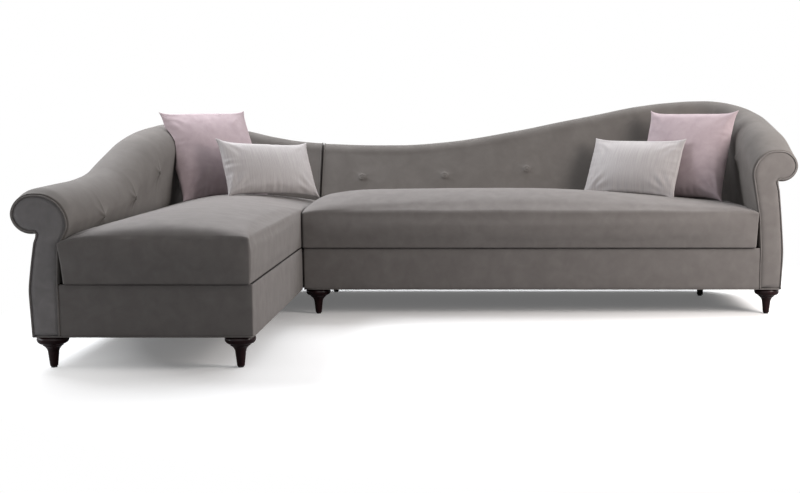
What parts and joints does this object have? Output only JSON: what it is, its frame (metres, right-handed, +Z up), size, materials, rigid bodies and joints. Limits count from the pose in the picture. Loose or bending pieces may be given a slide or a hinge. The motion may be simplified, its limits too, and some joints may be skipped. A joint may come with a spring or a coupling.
{
  "type": "sofa",
  "caption": "Chaise sectional sofa with a camel back, rolled arms, button tufting, loose bench cushions, throw pillows and turned front legs.",
  "frame": {"origin": "on the floor, at the middle of the whole sofa's width and depth", "axes": "+X along the long sofa towards its high arm, +Y to the rear, +Z up; the chaise reaches towards -Y on the -X side"},
  "size_m": [3.1054, 2.014, 0.987],
  "materials": {
    "velvet": "warm grey cut-pile velvet over foam and fibre wadding",
    "rose_velvet": "dusty rose short-pile velvet over a fibre fill",
    "silver_weave": "silver grey woven cloth with a vertical slub, over a fibre fill",
    "deck_cloth": "felt pad under dark deck cloth",
    "dust_cloth": "black non-woven dust cloth",
    "espresso_wood": "turned beech, espresso stain, satin lacquer",
    "black_wood": "square hardwood, black paint",
    "frame_wood": "planed hardwood, unfinished",
    "plywood": "birch plywood, unfinished",
    "steel": "zinc-plated steel",
    "glide_plastic": "moulded nylon"
  },
  "bodies": {
    "sofa": {"sofa_arm_board": "plywood", "sofa_arm_facing": "velvet", "sofa_arm_front_board": "plywood", "sofa_back_boards": "plywood", "sofa_border": "velvet", "sofa_buttons": "velvet", "sofa_connector_pockets": "steel", "sofa_cross_rails": "frame_wood", "sofa_dust_cover": "dust_cloth", "sofa_front_legs": "espresso_wood", "sofa_glides": "glide_plastic", "sofa_inside_arm": "velvet", "sofa_inside_back": "velvet", "sofa_inside_corner": "velvet", "sofa_joint_cover": "velvet", "sofa_leg_blocks": "frame_wood", "sofa_leg_bolts": "steel", "sofa_outside_arm": "velvet", "sofa_outside_back": "velvet", "sofa_outside_corner": "velvet", "sofa_piping": "velvet", "sofa_posts": "frame_wood", "sofa_rear_legs": "black_wood", "sofa_seat_deck": "deck_cloth", "sofa_seat_rails": "frame_wood", "sofa_seat_springs": "steel", "sofa_spring_clips": "steel"},
    "chaise": {"chaise_arm_board": "plywood", "chaise_arm_facing": "velvet", "chaise_arm_front_board": "plywood", "chaise_back_boards": "plywood", "chaise_border": "velvet", "chaise_buttons": "velvet", "chaise_connector_hooks": "steel", "chaise_cross_rails": "frame_wood", "chaise_dust_cover": "dust_cloth", "chaise_front_legs": "espresso_wood", "chaise_glides": "glide_plastic", "chaise_inside_arm": "velvet", "chaise_inside_back": "velvet", "chaise_inside_corner": "velvet", "chaise_joint_cover": "velvet", "chaise_leg_blocks": "frame_wood", "chaise_leg_bolts": "steel", "chaise_outside_arm": "velvet", "chaise_outside_back": "velvet", "chaise_outside_corner": "velvet", "chaise_piping": "velvet", "chaise_posts": "frame_wood", "chaise_rear_legs": "black_wood", "chaise_seat_deck": "deck_cloth", "chaise_seat_rails": "frame_wood", "chaise_seat_springs": "steel", "chaise_spring_clips": "steel"},
    "sofa_cushion": {"sofa_seat_cushion": "velvet"},
    "chaise_cushion": {"chaise_seat_cushion": "velvet"},
    "sofa_square": {"sofa_square_pillow": "rose_velvet"},
    "sofa_lumbar": {"sofa_lumbar_pillow": "silver_weave"},
    "chaise_square": {"chaise_square_pillow": "rose_velvet"},
    "chaise_lumbar": {"chaise_lumbar_pillow": "silver_weave"}
  },
  "joints": [
    {"name": "chaise_lifts_off_connectors", "type": "slide", "parent": "sofa", "child": "chaise", "axis": [0, 0, 1], "range_m": [0, 0.055]},
    {"name": "sofa_cushion_pulls_out", "type": "slide", "parent": "sofa", "child": "sofa_cushion", "axis": [0, -1, 0], "range_m": [0, 0.25]},
    {"name": "chaise_cushion_pulls_out", "type": "slide", "parent": "chaise", "child": "chaise_cushion", "axis": [0, -1, 0], "range_m": [0, 0.25]},
    {"name": "sofa_square_pillow_lifts", "type": "slide", "parent": "sofa_cushion", "child": "sofa_square", "axis": [0.1013, 0.2532, 0.9621], "range_m": [0, 0.1]},
    {"name": "chaise_square_pillow_lifts", "type": "slide", "parent": "chaise_cushion", "child": "chaise_square", "axis": [0.2542, -0.0508, 0.9658], "range_m": [0, 0.1]},
    {"name": "sofa_lumbar_pillow_lifts", "type": "slide", "parent": "sofa_cushion", "child": "sofa_lumbar", "axis": [0, -0.4983, 0.867], "range_m": [0, 0.2]},
    {"name": "chaise_lumbar_pillow_lifts", "type": "slide", "parent": "chaise_cushion", "child": "chaise_lumbar", "axis": [0, -0.4983, 0.867], "range_m": [0, 0.2]}
  ]
}
